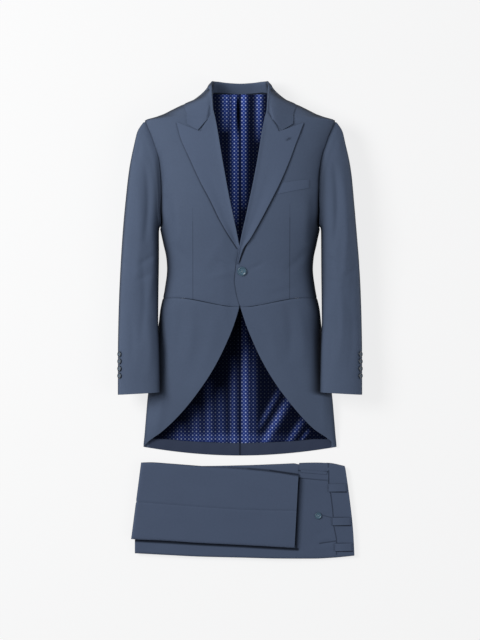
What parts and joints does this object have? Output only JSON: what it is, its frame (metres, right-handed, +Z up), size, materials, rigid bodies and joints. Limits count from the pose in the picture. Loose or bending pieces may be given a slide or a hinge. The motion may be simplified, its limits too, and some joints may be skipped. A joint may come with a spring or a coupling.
{
  "type": "single-breasted suit",
  "caption": "Single-breasted morning coat with peak lapels, waist seam and cutaway tails, filled out and lying above its folded trousers.",
  "frame": {"origin": "centre of the suit's outline, on the surface that it lies on", "axes": "+X to the wearer's left, +Y towards the collar, +Z up from the surface, out of the coat's front"},
  "size_m": [0.625, 1.2162, 0.1557],
  "materials": {
    "worsted": "slate-blue wool worsted, fine plain surface, matt",
    "lining": "navy lining with a small woven dot repeat, slight sheen",
    "button": "blue-grey four-hole button, polished rim"
  },
  "bodies": {
    "root": {"front_right": "worsted", "side_body_right": "worsted", "back_right": "worsted", "skirt_right": "worsted", "lapel_right": "worsted", "top_sleeve_right": "worsted", "under_sleeve_right": "worsted", "front_left": "worsted", "side_body_left": "worsted", "back_left": "worsted", "skirt_left": "worsted", "lapel_left": "worsted", "top_sleeve_left": "worsted", "under_sleeve_left": "worsted", "hem_facing_right": "worsted", "hem_facing_left": "worsted", "collar": "worsted", "breast_welt": "worsted", "folded_layers": "worsted", "turned_layers": "worsted", "left_leg_back": "worsted", "left_leg_front": "worsted", "right_leg_front": "worsted", "right_leg_back": "worsted", "waistband": "worsted", "waistband_under": "worsted", "belt_loop_1": "worsted", "belt_loop_2": "worsted", "belt_loop_3": "worsted", "side_pocket_edge": "worsted", "back_lining_right": "lining", "tail_lining_right": "lining", "back_lining_left": "lining", "tail_lining_left": "lining", "front_button": "button", "pocket_button": "button", "cuff_button_right_1": "button", "cuff_button_right_2": "button", "cuff_button_right_3": "button", "cuff_button_right_4": "button", "cuff_button_left_1": "button", "cuff_button_left_2": "button", "cuff_button_left_3": "button", "cuff_button_left_4": "button"}
  },
  "joints": []
}
